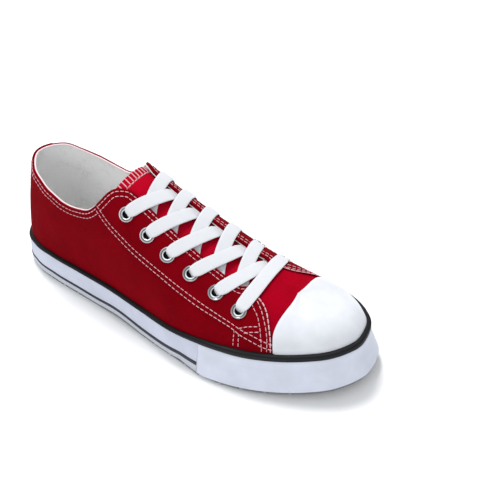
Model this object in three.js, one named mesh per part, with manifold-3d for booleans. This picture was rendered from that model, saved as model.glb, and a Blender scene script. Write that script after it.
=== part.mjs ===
// Low canvas sneaker, right shoe, in millimetres. +X to the toe, +Y medial, +Z up, standing on Z = 0.
import * as THREE from "three";
import { mergeVertices } from "three/addons/utils/BufferGeometryUtils.js";
import Module from "manifold-3d";

const wasm = await Module();
wasm.setup();

// ---- driving dimensions ----
const LENGTH = 275; // sole, heel back to toe tip
const WALL = 2.0; // canvas, backing and lining together
const GAP = 0.3; // between pieces that meet
const BEND_FROM = 110; // the centre line turns medially from here
const BEND = 6; // and is this far over at the toe tip
const TOE_SPRING = 8.5;
const SPRING_FROM = 170;
const ARCH = 1.6; // hollow under the waist of the sole
const ARCH_FROM = 82;
const ARCH_TO = 136;
const SOLE_TOP = 5.0; // outsole thickness
const SOLE_LIP = 1.8; // part of it that shows below the foxing
const INSOLE = 4.0;
const STRIPE = 4.0; // height of the black band on top of the foxing
const BUMPER_T = 0.41; // the toe bumper starts at this station on both sides
const FLARE_FROM = 165; // the sole spreads past the foxing from here
const CAP_T = 0.24; // the toe cap covers the last up to this station at the ledge
const CAP_THICK = 1.4;
const TONGUE_TOP = 3.2; // depth of the tongue's face below the last surface
const TONGUE_THICK = 2.6;
const EYELET_R = 5.0;
const EYELET_HOLE_R = 2.6;
const BARREL_R = 3.2;
const FLANGE_TOP = 1.1;
const LACE_W = 9.0;
const LACE_T = 1.4;

// Stations of the last. t runs from the toe tip (0) round each side to the heel (1).
// x, lat, med: the canvas at the ledge of the foxing; ledge: its height; cx, cz: crest of the rib;
// fan: heading of the rib at the crest, degrees from forward; lean: inward lean at the ledge;
// low, high: how far the rib keeps each end direction; fall: drop of the crest per mm forward.
const COLUMNS = ["t", "x", "lat", "med", "ledge", "cx", "cz", "fan", "lean", "low", "high", "fall"];
const LAST = [
  [0.0, 265.3, -5.3, 5.3, 35.4, 227.0, 50.3, 0, 30, 13.6, 18.1, 0.14],
  [0.05, 262.8, 3.0, 18.4, 35.0, 226.8, 50.3, 20, 28, 13.6, 18.1, 0.14],
  [0.1, 256.0, 12.4, 26.3, 33.9, 226.3, 50.3, 40, 25, 12.6, 19.0, 0.14],
  [0.16, 245.0, 20.8, 33.3, 32.4, 225.0, 50.3, 62, 20, 10.3, 18.5, 0.14],
  [0.23, 229.5, 29.4, 38.0, 30.6, 221, 51.5, 84, 15, 10.0, 20.7, 0.145],
  [0.31, 209.0, 37.0, 38.6, 28.9, 203, 54.5, 90, 11, 14.0, 22.2, 0.2],
  [0.39, 187.0, 41.0, 38.2, 27.8, 182, 60.0, 90, 8, 18.6, 22.8, 0.335],
  [0.48, 160.0, 42.6, 37.4, 27.1, 155, 71.5, 90, 6, 27.0, 23.3, 0.475],
  [0.58, 130.0, 38.9, 32.3, 26.7, 126, 86.5, 90, 5, 37.0, 24.4, 0.53],
  [0.68, 100.0, 34.8, 30.0, 26.3, 100, 99.9, 90, 4, 46.4, 24.4, 0.49],
  [0.78, 70.0, 32.5, 28.9, 25.9, 76, 110.3, 90, 4.8, 49.6, 23.5, 0.35],
  [0.86, 44.0, 30.7, 29.3, 25.6, 59, 115.5, 96, 4.6, 40, 21, 0.2],
  [0.92, 25.0, 27.4, 26.0, 25.4, 55, 116.5, 118, 6, 38.6, 20.6, 0.1],
  [0.96, 12.5, 20.3, 19.5, 25.2, 50, 117.5, 145, 4.7, 40.6, 23, 0.05],
  [1.0, 3.9, 0.0, 0.0, 25.1, 47, 118, 180, -0.5, 43, 27, 0],
].map((row) => Object.fromEntries(COLUMNS.map((name, i) => [name, row[i]])));

// Top edge of the canvas as a share v of each rib, on the lateral and medial sides: throat, eyestay
// lobe, collar and heel.
const EDGE = [
  { t: 0.322, lat: 1.0, med: 1.0 },
  { t: 0.332, lat: 0.87, med: 0.87 },
  { t: 0.345, lat: 0.785, med: 0.785 },
  { t: 0.38, lat: 0.77, med: 0.77 },
  { t: 0.45, lat: 0.785, med: 0.785 },
  { t: 0.52, lat: 0.8, med: 0.8 },
  { t: 0.6, lat: 0.818, med: 0.818 },
  { t: 0.633, lat: 0.825, med: 0.825 },
  { t: 0.648, lat: 0.817, med: 0.817 },
  { t: 0.66, lat: 0.79, med: 0.79 },
  { t: 0.675, lat: 0.745, med: 0.745 },
  { t: 0.685, lat: 0.705, med: 0.705 },
  { t: 0.695, lat: 0.645, med: 0.645 },
  { t: 0.705, lat: 0.573, med: 0.573 },
  { t: 0.719, lat: 0.492, med: 0.492 },
  { t: 0.729, lat: 0.447, med: 0.442 },
  { t: 0.746, lat: 0.395, med: 0.39 },
  { t: 0.774, lat: 0.36, med: 0.354 },
  { t: 0.8025, lat: 0.35, med: 0.364 },
  { t: 0.83, lat: 0.361, med: 0.384 },
  { t: 0.8575, lat: 0.383, med: 0.406 },
  { t: 0.889, lat: 0.4, med: 0.424 },
  { t: 0.924, lat: 0.423, med: 0.446 },
  { t: 0.96, lat: 0.443, med: 0.467 },
  { t: 1.0, lat: 0.45, med: 0.45 },
];

// Rear edge of the toe cap: its station at shares v of the rib.
const CAP_EDGE = [
  { v: 0, t: 0.24 },
  { v: 0.22, t: 0.243 },
  { v: 0.36, t: 0.2445 },
  { v: 0.51, t: 0.2405 },
  { v: 0.72, t: 0.2275 },
  { v: 0.885, t: 0.2125 },
  { v: 1, t: 0.206 },
];

// Lace eyelets from the top pair down, on the lateral and medial sides.
const EYELETS = [
  { latT: 0.633, latV: 0.609, medT: 0.638, medV: 0.589 },
  { latT: 0.572, latV: 0.591, medT: 0.579, medV: 0.56 },
  { latT: 0.517, latV: 0.574, medT: 0.523, medV: 0.535 },
  { latT: 0.459, latV: 0.57, medT: 0.467, medV: 0.528 },
  { latT: 0.398, latV: 0.558, medT: 0.407, medV: 0.537 },
  { latT: 0.335, latV: 0.5, medT: 0.343, medV: 0.503 },
];

// Vent eyelets low on the medial quarter.
const VENTS = [
  { t: 0.706, v: 0.075 },
  { t: 0.625, v: 0.075 },
];

const COLOURS = {
  canvas: { color: 0x8a0a1c, roughness: 0.9, metalness: 0 },
  tongue: { color: 0xb40a24, roughness: 0.9, metalness: 0 },
  lace: { color: 0xf1f2f6, roughness: 0.85, metalness: 0 },
  rubber: { color: 0xdcdeec, roughness: 0.5, metalness: 0 },
  cap: { color: 0xf0f1f6, roughness: 0.35, metalness: 0 },
  black: { color: 0x1c1d20, roughness: 0.45, metalness: 0 },
  sole: { color: 0x6f7178, roughness: 0.7, metalness: 0 },
  lining: { color: 0xb9bbbd, roughness: 0.95, metalness: 0 },
  metal: { color: 0xc6c8cb, roughness: 0.3, metalness: 1 },
};

// ---- small helpers ----
const clamp = (x, a, b) => Math.min(b, Math.max(a, x));
const lerp = (a, b, s) => a + (b - a) * s;
const rad = (d) => (d * Math.PI) / 180;
const vec = (x, y, z) => new THREE.Vector3(x, y, z);

// Smooth curve through rows of numbers, key first, with slopes weighted by spacing.
function spline(rows) {
  const keys = rows.map((r) => r[0]);
  const n = rows.length;
  const gap = (i) => keys[i + 1] - keys[i];
  const rise = (i, c) => (rows[i + 1][c] - rows[i][c]) / gap(i);
  const slope = (i, c) => {
    if (i === 0) return rise(0, c);
    if (i === n - 1) return rise(n - 2, c);
    return (rise(i - 1, c) * gap(i) + rise(i, c) * gap(i - 1)) / (gap(i - 1) + gap(i));
  };
  return (key) => {
    const k = clamp(key, keys[0], keys[n - 1]);
    let i = 0;
    while (i < n - 2 && k >= keys[i + 1]) i++;
    const h = gap(i);
    const s = (k - keys[i]) / h;
    const a = 2 * s ** 3 - 3 * s ** 2 + 1;
    const b = s ** 3 - 2 * s ** 2 + s;
    return rows[i].slice(1).map((p, j) => {
      const c = j + 1;
      const q = rows[i + 1][c];
      return a * p + b * h * slope(i, c) + (1 - a) * q + (s ** 3 - s ** 2) * h * slope(i + 1, c);
    });
  };
}

// u is the signed station: -t on the lateral side, +t on the medial side.
function signedRows() {
  const row = (r, side, key) => [
    key,
    r.x,
    side < 0 ? -r.lat : r.med,
    r.ledge,
    r.cx,
    r.cz,
    side * r.fan,
    r.lean,
    r.low,
    r.high,
    r.fall,
  ];
  const lat = LAST.map((r) => row(r, -1, -r.t)).reverse();
  const med = LAST.slice(1).map((r) => row(r, 1, r.t));
  const before = [...lat[1]];
  before[0] = -2 - before[0];
  before[2] = -before[2];
  before[6] = -360 - before[6];
  const after = [...med[med.length - 2]];
  after[0] = 2 - after[0];
  after[2] = -after[2];
  after[6] = 360 - after[6];
  return [before, ...lat, ...med, after];
}
const station = spline(signedRows());
const edgeRow = spline(EDGE.map((r) => [r.t, r.lat, r.med]));
const edgeV = (u) => edgeRow(Math.abs(u))[u < 0 ? 0 : 1];

// Centre line of the shoe in plan, and the height of the ground side of the sole.
const bendShare = (x) => Math.max(0, (x - BEND_FROM) / (LENGTH - BEND_FROM));
const axisY = (x) => BEND * bendShare(x) ** 2;
const axisSlope = (x) => (2 * BEND * bendShare(x)) / (LENGTH - BEND_FROM);
function groundZ(x) {
  const spring = Math.max(0, (x - SPRING_FROM) / (LENGTH - SPRING_FROM));
  const arch = clamp((x - ARCH_FROM) / (ARCH_TO - ARCH_FROM), 0, 1);
  return TOE_SPRING * spring ** 2 + ARCH * Math.sin(Math.PI * arch) ** 2;
}

function planNormal(u) {
  const a = station(u - 0.004);
  const b = station(u + 0.004);
  return vec(b[1] - a[1], a[0] - b[0], 0).normalize();
}

// A point in plan, d outside the canvas at the ledge.
function plan(u, d) {
  const s = station(u);
  const n = planNormal(u);
  return vec(s[0] + n.x * d, s[1] + n.y * d, 0);
}

// Surface of the last: v = 0 at the ledge, 1 at the crest; below the ledge it drops straight.
function bare(u, v) {
  const [x, y, ledge, cx, cz, fan, lean, low, high, fall] = station(u);
  const from = vec(x, y, ledge);
  if (v <= 0) return vec(x, y, lerp(ledge, groundZ(x) + SOLE_TOP + GAP, -v));
  const crest = vec(cx, axisY(cx), cz);
  const inward = vec(crest.x - x, crest.y - y, 0).normalize();
  const start = vec(0, 0, Math.cos(rad(lean))).addScaledVector(inward, Math.sin(rad(lean)));
  const ahead = vec(1, axisSlope(cx), 0).normalize();
  const across = vec(-ahead.y, ahead.x, 0);
  const down = vec(ahead.x, ahead.y, -fall).normalize();
  const end = down.multiplyScalar(Math.cos(rad(fan))).addScaledVector(across, Math.sin(rad(fan)));
  const p1 = from.clone().addScaledVector(start, low);
  const p2 = crest.clone().addScaledVector(end, high);
  return new THREE.CubicBezierCurve3(from, p1, p2, crest).getPoint(v);
}

function outward(u, v) {
  if (v <= 0) return planNormal(u);
  if (v >= 0.999) {
    const s = station(u);
    const slope = axisSlope(s[3]);
    return vec(s[9], slope * s[9], 1 + slope * slope).normalize();
  }
  const e = 0.001;
  const w = clamp(v, 0.002, 0.97);
  const du = bare(u + e, w).sub(bare(u - e, w));
  const dv = bare(u, w + e).sub(bare(u, w - e));
  return du.cross(dv).normalize();
}

// The last surface moved d outwards.
const last = (u, v, d = 0) => bare(u, v).addScaledVector(outward(u, v), d);

// q runs across the top of the foot: 0 on the crest, negative on the lateral side.
const over = (t, q, d) => last(q < 0 ? -t : t, 1 - Math.abs(q), d);

// ---- solids from rows of points ----
function solid(points, faces) {
  const g = new THREE.BufferGeometry();
  const flat = new Float32Array(points.flatMap((p) => [p.x, p.y, p.z]));
  g.setAttribute("position", new THREE.BufferAttribute(flat, 3));
  g.setIndex(faces);
  const merged = mergeVertices(g, 1e-3);
  const kept = [];
  const index = merged.index.array;
  for (let i = 0; i < index.length; i += 3) {
    const [a, b, c] = [index[i], index[i + 1], index[i + 2]];
    if (a !== b && b !== c && a !== c) kept.push(a, b, c);
  }
  const mesh = new wasm.Mesh({
    numProp: 3,
    vertProperties: merged.attributes.position.array,
    triVerts: new Uint32Array(kept),
  });
  return new wasm.Manifold(mesh);
}

// Closed solid from loops of points, one loop per section. Sections join up when closed is true.
function loft(sections, closed = false) {
  const n = sections[0].length;
  const m = sections.length;
  const faces = [];
  for (let i = 0; i < (closed ? m : m - 1); i++) {
    for (let j = 0; j < n; j++) {
      const a = i * n + j;
      const b = i * n + ((j + 1) % n);
      const c = ((i + 1) % m) * n + ((j + 1) % n);
      const d = ((i + 1) % m) * n + j;
      faces.push(a, b, c, a, c, d);
    }
  }
  if (!closed) {
    for (let j = 1; j < n - 1; j++) {
      const e = (m - 1) * n;
      faces.push(0, j + 1, j, e, e + j, e + j + 1);
    }
  }
  const made = solid(sections.flat(), faces);
  if (made.volume() > 0) return made;
  const turned = [];
  for (let i = 0; i < faces.length; i += 3) turned.push(faces[i], faces[i + 2], faces[i + 1]);
  return solid(sections.flat(), turned);
}

// Shell between two grids of the same size; columns close on themselves when closed is true.
// rimmed(i) is false where the top rows meet on the crest and need no rim.
function shell(outer, inner, closed, rimmed = () => true) {
  const m = outer.length;
  const n = outer[0].length;
  const faces = [];
  const base = m * n;
  const quad = (a, b, c, d) => faces.push(a, b, c, a, c, d);
  for (let i = 0; i < (closed ? m : m - 1); i++) {
    const k = (i + 1) % m;
    for (let j = 0; j < n - 1; j++) {
      const [a, b, c, d] = [i * n + j, k * n + j, k * n + j + 1, i * n + j + 1];
      quad(a, b, c, d);
      quad(base + d, base + c, base + b, base + a);
    }
    quad(base + i * n, base + k * n, k * n, i * n);
    const [p, q] = [i * n + n - 1, k * n + n - 1];
    if (rimmed(i)) quad(p, q, base + q, base + p);
  }
  if (!closed) {
    for (let j = 0; j < n - 1; j++) {
      quad(j, j + 1, base + j + 1, base + j);
      const e = (m - 1) * n + j;
      quad(base + e, base + e + 1, e + 1, e);
    }
  }
  return solid([...outer.flat(), ...inner.flat()], faces);
}

function steps(from, to, count) {
  return Array.from({ length: count + 1 }, (_, i) => lerp(from, to, i / count));
}

function mirrored(side) {
  const lateral = side.map((t) => -t).reverse();
  return [...lateral.slice(0, -1), ...side];
}

// A plate across the shoe: d sets its outline; top and bottom are functions of x and of a share that
// is 1 round the rim and 0 inside.
function plate(d, top, bottom, rows = 4) {
  const across = steps(-1, 1, rows);
  const grid = (height) =>
    RING_T.map((t) => {
      const a = plan(-t, d(t));
      const b = plan(t, d(t));
      return across.map((q) => {
        const p = a.clone().lerp(b, (q + 1) / 2);
        p.z = height(p.x, 1 - (1 - q ** 4) * (1 - (2 * t - 1) ** 8));
        return p;
      });
    });
  return shell(grid(bottom), grid(top), false);
}

const made = new Map();
function keep(name, body, look) {
  made.set(name, { body, look });
}

// ---- sole unit ----
// Stations where every ring round the shoe has a section, so that neighbours share their facets.
const RING_T = [
  0, 0.025, 0.05, 0.075, 0.1, 0.13, 0.16, 0.195, CAP_T, 0.27, 0.31, 0.36, BUMPER_T, 0.414, 0.48,
  0.54, 0.6, 0.66, 0.72, 0.77, 0.81, 0.85, 0.88, 0.905, 0.925, 0.943, 0.958, 0.972, 0.986, 1,
];
// More of them where the top edge of the canvas turns.
const EDGE_T = [
  0.322, 0.327, 0.332, 0.338, 0.345, 0.38, 0.445, 0.51, 0.57, 0.63, 0.645, 0.655, 0.665, 0.677,
  0.69, 0.705, 0.735, 0.752, 0.79, 0.83,
];
const round = mirrored(RING_T).slice(1);
const roundUpper = mirrored([...RING_T, ...EDGE_T].sort((a, b) => a - b)).slice(1);

const ledgeWidth = (t) => lerp(3.0, 2.2, clamp(t / 0.3, 0, 1));
const flare = (t) => lerp(1.7, 6.7, clamp((station(t)[0] - FLARE_FROM) / 20, 0, 1)); // foot past the ledge
const thin = (t) => clamp((BUMPER_T + 0.004 - t) / 0.004, 0, 1); // the foxing is thinner under the bumper
const foxTop = (t) => ledgeWidth(t) - 0.9 * thin(t);
const foxFoot = (t) => foxTop(t) + flare(t) * (1 - thin(t));
const soleEdge = (t) => ledgeWidth(t) + flare(t) - 0.8;

// Ring round the shoe. A section is a loop of [distance out, height]; a height under the ledge band
// counts from the ground side of the sole, so onSole marks it.
function band(stations, section, closed) {
  const loops = stations.map((u) =>
    section(Math.abs(u), station(u)[2]).map(([d, z, onSole]) => {
      const p = plan(u, d);
      return p.setZ(onSole ? z + groundZ(p.x) : z);
    }),
  );
  return loft(loops, closed);
}
const LOW = SOLE_LIP + GAP;

const foxing = band(
  round,
  (t, ledge) => [
    [GAP, LOW, true],
    [foxFoot(t), LOW, true],
    [foxTop(t), ledge - STRIPE - GAP],
    [GAP, ledge - STRIPE - GAP],
  ],
  true,
);
keep("foxing", foxing, COLOURS.rubber);

const stripe = band(
  round,
  (t, ledge) => [
    [GAP, ledge - STRIPE],
    [ledgeWidth(t) + 0.4, ledge - STRIPE],
    [ledgeWidth(t) + 0.4, ledge - 0.8],
    [ledgeWidth(t) - 0.2, ledge],
    [GAP, ledge],
  ],
  true,
);
keep("foxing_stripe", stripe, COLOURS.black);

const front = mirrored(RING_T.filter((t) => t <= BUMPER_T));
const bumper = band(
  front,
  (t, ledge) => {
    const x = station(t)[0];
    const swell = 1.1;
    const foot = ledgeWidth(t) + flare(t) + 0.3;
    const top = ledge - STRIPE - GAP;
    const low = LOW + groundZ(x);
    return [
      [foxFoot(t) + GAP, LOW, true],
      [foot - 0.8, LOW, true],
      [foot, LOW + 1.5, true],
      [lerp(foot, ledgeWidth(t) + swell, 0.75), lerp(low, top, 0.6)],
      [ledgeWidth(t) + swell, top - 1.2],
      [ledgeWidth(t) + swell - 0.7, top],
      [foxTop(t) + GAP, top],
    ];
  },
  false,
);
keep("toe_bumper", bumper, COLOURS.rubber);

// Outsole: a core inside the foxing, a lip under it, an arch, a heel and cut grooves between lugs.
const core = plate(
  () => -0.5,
  (x) => groundZ(x) + SOLE_TOP,
  (x) => groundZ(x) + SOLE_LIP - 0.6,
);
const lip = plate(
  soleEdge,
  (x) => groundZ(x) + SOLE_LIP,
  (x) => groundZ(x),
  2,
);
let outsole = core.add(lip);
const GROOVE = 1.1;
for (const x of [22, 36, 50, 64, 146, 160, 174, 188, 202, 216, 230, 244]) {
  const bar = new THREE.BoxGeometry(2.4, 200, 3).deleteAttribute("normal").deleteAttribute("uv");
  bar.rotateY(Math.atan2(groundZ(x - 1) - groundZ(x + 1), 2));
  bar.rotateZ(x > 100 ? -0.1 : 0.05);
  bar.translate(x, 0, groundZ(x) + GROOVE - 1.5);
  const g = mergeVertices(bar);
  outsole = outsole.subtract(
    new wasm.Manifold(
      new wasm.Mesh({
        numProp: 3,
        vertProperties: g.attributes.position.array,
        triVerts: new Uint32Array(g.index.array),
      }),
    ),
  );
}
keep("outsole", outsole.simplify(0.01), COLOURS.sole);

const insole = plate(
  () => -(WALL + 0.4),
  (x, rim) => groundZ(x) + SOLE_TOP + GAP + INSOLE + 1.2 * rim,
  (x) => groundZ(x) + SOLE_TOP + GAP,
);
keep("insole", insole, COLOURS.lining);

// ---- upper ----
const heights = [-1, -0.02, 0.12, 0.27, 0.43, 0.6, 0.79, 1];

function column(u, d) {
  const top = edgeV(u);
  return heights.map((h) => last(u, h > 0 ? h * top : h, d));
}

let upper = shell(
  roundUpper.map((u) => column(u, 0)),
  roundUpper.map((u) => column(u, -WALL)),
  true,
  (i) => Math.max(...[i, (i + 1) % roundUpper.length].map((k) => Math.abs(roundUpper[k]))) > 0.3221,
);

// Lathe about the surface normal at a station of the last.
function turned(profile, u, v, segments = 12) {
  const g = new THREE.LatheGeometry(
    [...profile, profile[0]].map(([r, h]) => new THREE.Vector2(r, h)),
    segments,
  );
  g.rotateX(Math.PI / 2);
  const n = outward(u, v);
  const turn = new THREE.Quaternion().setFromUnitVectors(vec(0, 0, 1), n);
  g.applyQuaternion(turn);
  const at = bare(u, v);
  g.translate(at.x, at.y, at.z);
  g.deleteAttribute("normal").deleteAttribute("uv");
  const points = [];
  const merged = mergeVertices(g, 1e-3);
  for (let i = 0; i < merged.attributes.position.count; i++) {
    points.push(new THREE.Vector3().fromBufferAttribute(merged.attributes.position, i));
  }
  const faces = [...merged.index.array];
  const body = solid(points, faces);
  if (body.volume() > 0) return body;
  for (let i = 0; i < faces.length; i += 3) [faces[i + 1], faces[i + 2]] = [faces[i + 2], faces[i + 1]];
  return solid(points, faces);
}

const RING = [
  [EYELET_HOLE_R, -2.5],
  [BARREL_R, -2.5],
  [BARREL_R, GAP],
  [EYELET_R, GAP],
  [EYELET_R - 0.8, FLANGE_TOP],
  [EYELET_HOLE_R, 0.3],
];
const PLUG = [
  [0, -6],
  [BARREL_R + GAP, -6],
  [BARREL_R + GAP, 4],
  [0, 4],
];

function eyelet(name, u, v) {
  upper = upper.subtract(turned(PLUG, u, v, 10));
  keep(name, turned(RING, u, v), COLOURS.metal);
}
EYELETS.forEach((e, i) => {
  eyelet("eyelet_lateral_" + (i + 1), -e.latT, e.latV);
  eyelet("eyelet_medial_" + (i + 1), e.medT, e.medV);
});
VENTS.forEach((e, i) => eyelet("vent_eyelet_" + (i + 1), e.t, e.v));
keep("upper", upper.simplify(0.01), COLOURS.canvas);

// Toe cap: the front of the last between two offsets.
const capStations = mirrored(RING_T.filter((t) => t <= CAP_T));
const capHeights = [0.03, 0.08, 0.2, 0.34, 0.48, 0.62, 0.76, 0.9, 1];
const capShare = spline(CAP_EDGE.map(({ v, t }) => [v, t / CAP_T]));
const capGrid = (d) => capStations.map((u) => capHeights.map((v) => last(u * capShare(v)[0], v, d)));
keep("toe_cap", shell(capGrid(GAP + CAP_THICK), capGrid(GAP), false, () => false), COLOURS.cap);

// ---- tongue ----
const tongueGrid = (d) =>
  steps(-0.46, 0.46, 8).map((q) =>
    steps(0, 1, 11).map((s) => {
      const t = lerp(0.29, 0.677 + 0.09 * q * q, s);
      return over(t, q, -d);
    }),
  );
const tongueOuter = tongueGrid(TONGUE_TOP);
const tongueInner = tongueGrid(TONGUE_TOP + TONGUE_THICK);
keep("tongue", shell(tongueOuter, tongueInner, false), COLOURS.tongue);

// ---- laces ----
// A flat lace along a row of { t, q, d } points, as rounded bars lofted across.
function strip(path, count) {
  const key = spline(path.map((p, i) => [i / (path.length - 1), p.t, p.q, p.d]));
  const at = (s) => {
    const [t, q, d] = key(s);
    return over(t, q, d);
  };
  const sections = steps(0, 1, count).map((s) => {
    const [t, q] = key(s);
    const a = at(Math.max(0, s - 0.02));
    const b = at(Math.min(1, s + 0.02));
    const along = b.sub(a).normalize();
    const up = over(t, q, 1).sub(over(t, q, 0)).normalize();
    const side = along.clone().cross(up).normalize();
    const rise = side.clone().cross(along).normalize();
    const centre = at(s);
    const half = LACE_W / 2;
    const thin = LACE_T / 2;
    return [
      [half, 0],
      [half - 0.9, thin],
      [0.9 - half, thin],
      [-half, 0],
      [0.9 - half, -thin],
      [half - 0.9, -thin],
    ].map(([x, z]) => centre.clone().addScaledVector(side, x).addScaledVector(rise, z));
  });
  return loft(sections);
}

const OVER = FLANGE_TOP + GAP + LACE_T / 2 + 0.1;
function crossing(k) {
  const a = EYELETS[k];
  const b = EYELETS[k + 1];
  const run = (side, from, to, mid) => {
    const q0 = -side * (1 - from.v);
    const q1 = side * (1 - to.v);
    const point = (q, d) => ({ t: lerp(from.t, to.t, (q - q0) / (q1 - q0)), q, d });
    return strip(
      [
        point(q0 * 1.03, OVER),
        point(q0 * 0.72, OVER - 0.1),
        point(q0 * 0.42, 1.0),
        point(0, mid),
        point(q1 * 0.25, -1.2),
      ],
      8,
    );
  };
  const A = run(1, { t: a.latT, v: a.latV }, { t: b.medT, v: b.medV }, 0.9);
  const B = run(-1, { t: a.medT, v: a.medV }, { t: b.latT, v: b.latV }, -0.3);
  return A.add(B);
}
for (let k = 0; k < 5; k++) keep("lace_crossing_" + (k + 1), crossing(k), COLOURS.lace);

const end = EYELETS[5];
keep(
  "lace_bar",
  strip(
    [
      { t: end.latT, q: -1.03 * (1 - end.latV), d: OVER },
      { t: end.latT + 0.002, q: -0.33, d: OVER - 0.1 },
      { t: end.latT + 0.004, q: 0, d: OVER - 0.5 },
      { t: end.medT - 0.002, q: 0.33, d: OVER - 0.1 },
      { t: end.medT, q: 1.03 * (1 - end.medV), d: OVER },
    ],
    12,
  ),
  COLOURS.lace,
);

// ---- the group, with the middle of its box over the origin ----
const group = new THREE.Group();
for (const [name, { body, look }] of made) {
  const m = body.getMesh();
  const g = new THREE.BufferGeometry();
  const n = m.numProp;
  const flat = new Float32Array(m.numVert * 3);
  for (let i = 0; i < m.numVert; i++) flat.set(m.vertProperties.subarray(i * n, i * n + 3), i * 3);
  g.setAttribute("position", new THREE.BufferAttribute(flat, 3));
  g.setIndex(new THREE.BufferAttribute(m.triVerts, 1));
  const mesh = new THREE.Mesh(g, new THREE.MeshStandardMaterial(look));
  mesh.name = name;
  group.add(mesh);
}
const box = new THREE.Box3().setFromObject(group);
const middle = box.getCenter(new THREE.Vector3());
for (const mesh of group.children) mesh.geometry.translate(-middle.x, -middle.y, -box.min.z);

export default group;
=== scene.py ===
"""Red canvas sneaker, right shoe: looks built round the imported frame. Lengths are millimetres."""

import math

import bpy
import numpy as np
from mathutils import Matrix, Vector


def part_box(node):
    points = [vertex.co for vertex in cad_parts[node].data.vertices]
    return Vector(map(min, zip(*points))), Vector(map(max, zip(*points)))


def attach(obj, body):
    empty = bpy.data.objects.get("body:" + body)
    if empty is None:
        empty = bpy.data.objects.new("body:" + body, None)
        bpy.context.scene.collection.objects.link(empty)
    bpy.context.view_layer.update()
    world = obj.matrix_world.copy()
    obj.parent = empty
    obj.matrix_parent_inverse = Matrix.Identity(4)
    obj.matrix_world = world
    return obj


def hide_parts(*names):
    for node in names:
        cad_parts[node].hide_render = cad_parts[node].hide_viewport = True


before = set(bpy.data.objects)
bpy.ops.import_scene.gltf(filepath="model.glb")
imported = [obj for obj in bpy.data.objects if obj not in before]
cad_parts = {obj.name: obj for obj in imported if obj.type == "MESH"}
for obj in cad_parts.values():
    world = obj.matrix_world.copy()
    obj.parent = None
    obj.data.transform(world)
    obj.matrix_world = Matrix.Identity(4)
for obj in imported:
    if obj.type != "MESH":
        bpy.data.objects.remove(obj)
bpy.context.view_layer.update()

# ---- sizes shared with the CAD parts ----
LENGTH, WALL, GAP = 275.0, 2.0, 0.3
BEND_FROM, BEND = 110.0, 6.0
TOE_SPRING, SPRING_FROM = 8.5, 170.0
ARCH, ARCH_FROM, ARCH_TO = 1.6, 82.0, 136.0
SOLE_TOP, SOLE_LIP, INSOLE, STRIPE = 5.0, 1.8, 4.0, 4.0
BUMPER_T, FLARE_FROM, CAP_THICK = 0.41, 165.0, 1.4
LOW = SOLE_LIP + GAP

# Columns: t, x, lateral y, medial y, ledge z, crest x, crest z, fan, lean, low, high, fall
LAST = [
    (0.00, 265.3, -5.3, 5.3, 35.4, 227.0, 50.3, 0, 30, 13.6, 18.1, 0.14),
    (0.05, 262.8, 3.0, 18.4, 35.0, 226.8, 50.3, 20, 28, 13.6, 18.1, 0.14),
    (0.10, 256.0, 12.4, 26.3, 33.9, 226.3, 50.3, 40, 25, 12.6, 19.0, 0.14),
    (0.16, 245.0, 20.8, 33.3, 32.4, 225.0, 50.3, 62, 20, 10.3, 18.5, 0.14),
    (0.23, 229.5, 29.4, 38.0, 30.6, 221.0, 51.5, 84, 15, 10.0, 20.7, 0.145),
    (0.31, 209.0, 37.0, 38.6, 28.9, 203.0, 54.5, 90, 11, 14.0, 22.2, 0.2),
    (0.39, 187.0, 41.0, 38.2, 27.8, 182.0, 60.0, 90, 8, 18.6, 22.8, 0.335),
    (0.48, 160.0, 42.6, 37.4, 27.1, 155.0, 71.5, 90, 6, 27.0, 23.3, 0.475),
    (0.58, 130.0, 38.9, 32.3, 26.7, 126.0, 86.5, 90, 5, 37.0, 24.4, 0.53),
    (0.68, 100.0, 34.8, 30.0, 26.3, 100.0, 99.9, 90, 4, 46.4, 24.4, 0.49),
    (0.78, 70.0, 32.5, 28.9, 25.9, 76.0, 110.3, 90, 4.8, 49.6, 23.5, 0.35),
    (0.86, 44.0, 30.7, 29.3, 25.6, 59.0, 115.5, 96, 4.6, 40, 21, 0.2),
    (0.92, 25.0, 27.4, 26.0, 25.4, 55.0, 116.5, 118, 6, 38.6, 20.6, 0.1),
    (0.96, 12.5, 20.3, 19.5, 25.2, 50.0, 117.5, 145, 4.7, 40.6, 23, 0.05),
    (1.00, 3.9, 0.0, 0.0, 25.1, 47.0, 118.0, 180, -0.5, 43, 27, 0),
]
# Top edge of the canvas: station, share of the rib on the lateral side, on the medial side
EDGE = [
    (0.322, 1.0, 1.0), (0.332, 0.87, 0.87), (0.345, 0.785, 0.785), (0.38, 0.77, 0.77), (0.45, 0.785, 0.785),
    (0.52, 0.8, 0.8), (0.6, 0.818, 0.818), (0.633, 0.825, 0.825), (0.648, 0.817, 0.817), (0.66, 0.79, 0.79),
    (0.675, 0.745, 0.745), (0.685, 0.705, 0.705), (0.695, 0.645, 0.645), (0.705, 0.573, 0.573),
    (0.719, 0.492, 0.492), (0.729, 0.447, 0.442), (0.746, 0.395, 0.39), (0.774, 0.36, 0.354),
    (0.8025, 0.35, 0.364), (0.83, 0.361, 0.384), (0.8575, 0.383, 0.406), (0.889, 0.4, 0.424),
    (0.924, 0.423, 0.446), (0.96, 0.443, 0.467), (1.0, 0.45, 0.45),
]
THROAT_TIP, THROAT_T, THROAT_V = 0.322, 0.345, 0.785  # its front end, and the corner where its sides begin
# Rear edge of the toe cap: share of the rib, station
CAP_EDGE = [
    (0.0, 0.24), (0.22, 0.243), (0.36, 0.2445), (0.51, 0.2405), (0.72, 0.2275), (0.885, 0.2125), (1.0, 0.206),
]
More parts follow.
